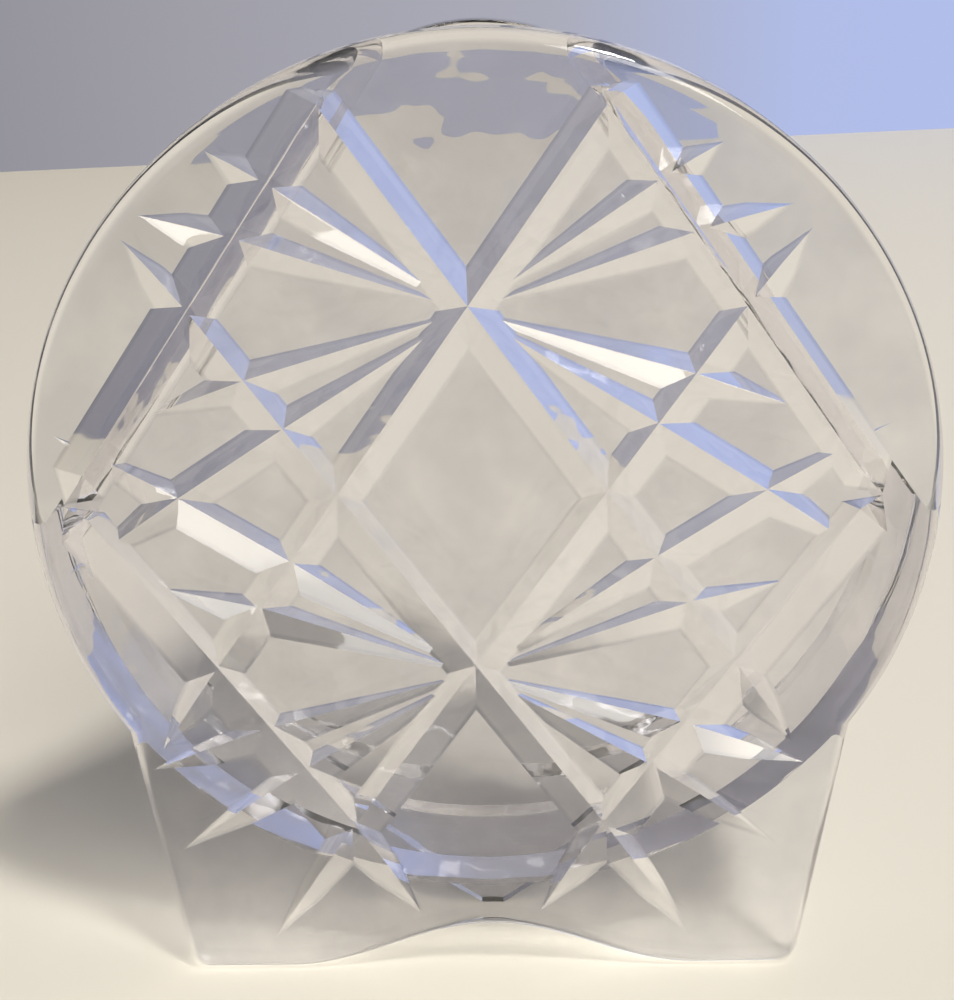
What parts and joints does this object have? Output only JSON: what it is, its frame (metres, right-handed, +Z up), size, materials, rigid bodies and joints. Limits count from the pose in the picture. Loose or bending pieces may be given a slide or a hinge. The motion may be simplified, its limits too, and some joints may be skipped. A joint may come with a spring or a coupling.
{
  "type": "cut glass pocket vase",
  "caption": "Clear cut-glass pocket vase: a round front panel with stars and a diamond lattice on a tapered arched foot, and a shallow reservoir with sloping shoulders behind it.",
  "frame": {"origin": "on the table, under the middle of the disc and half-way through the depth", "axes": "+X to the right of a viewer in front of the cut panel, +Y away from that viewer, +Z up"},
  "size_m": [0.11, 0.022, 0.1215],
  "materials": {
    "front_crystal": "polished",
    "wall_crystal": "polished",
    "back_crystal": "polished"
  },
  "bodies": {
    "root": {"front_plate": "front_crystal", "reservoir_wall": "wall_crystal", "back_plate": "back_crystal"}
  },
  "joints": []
}
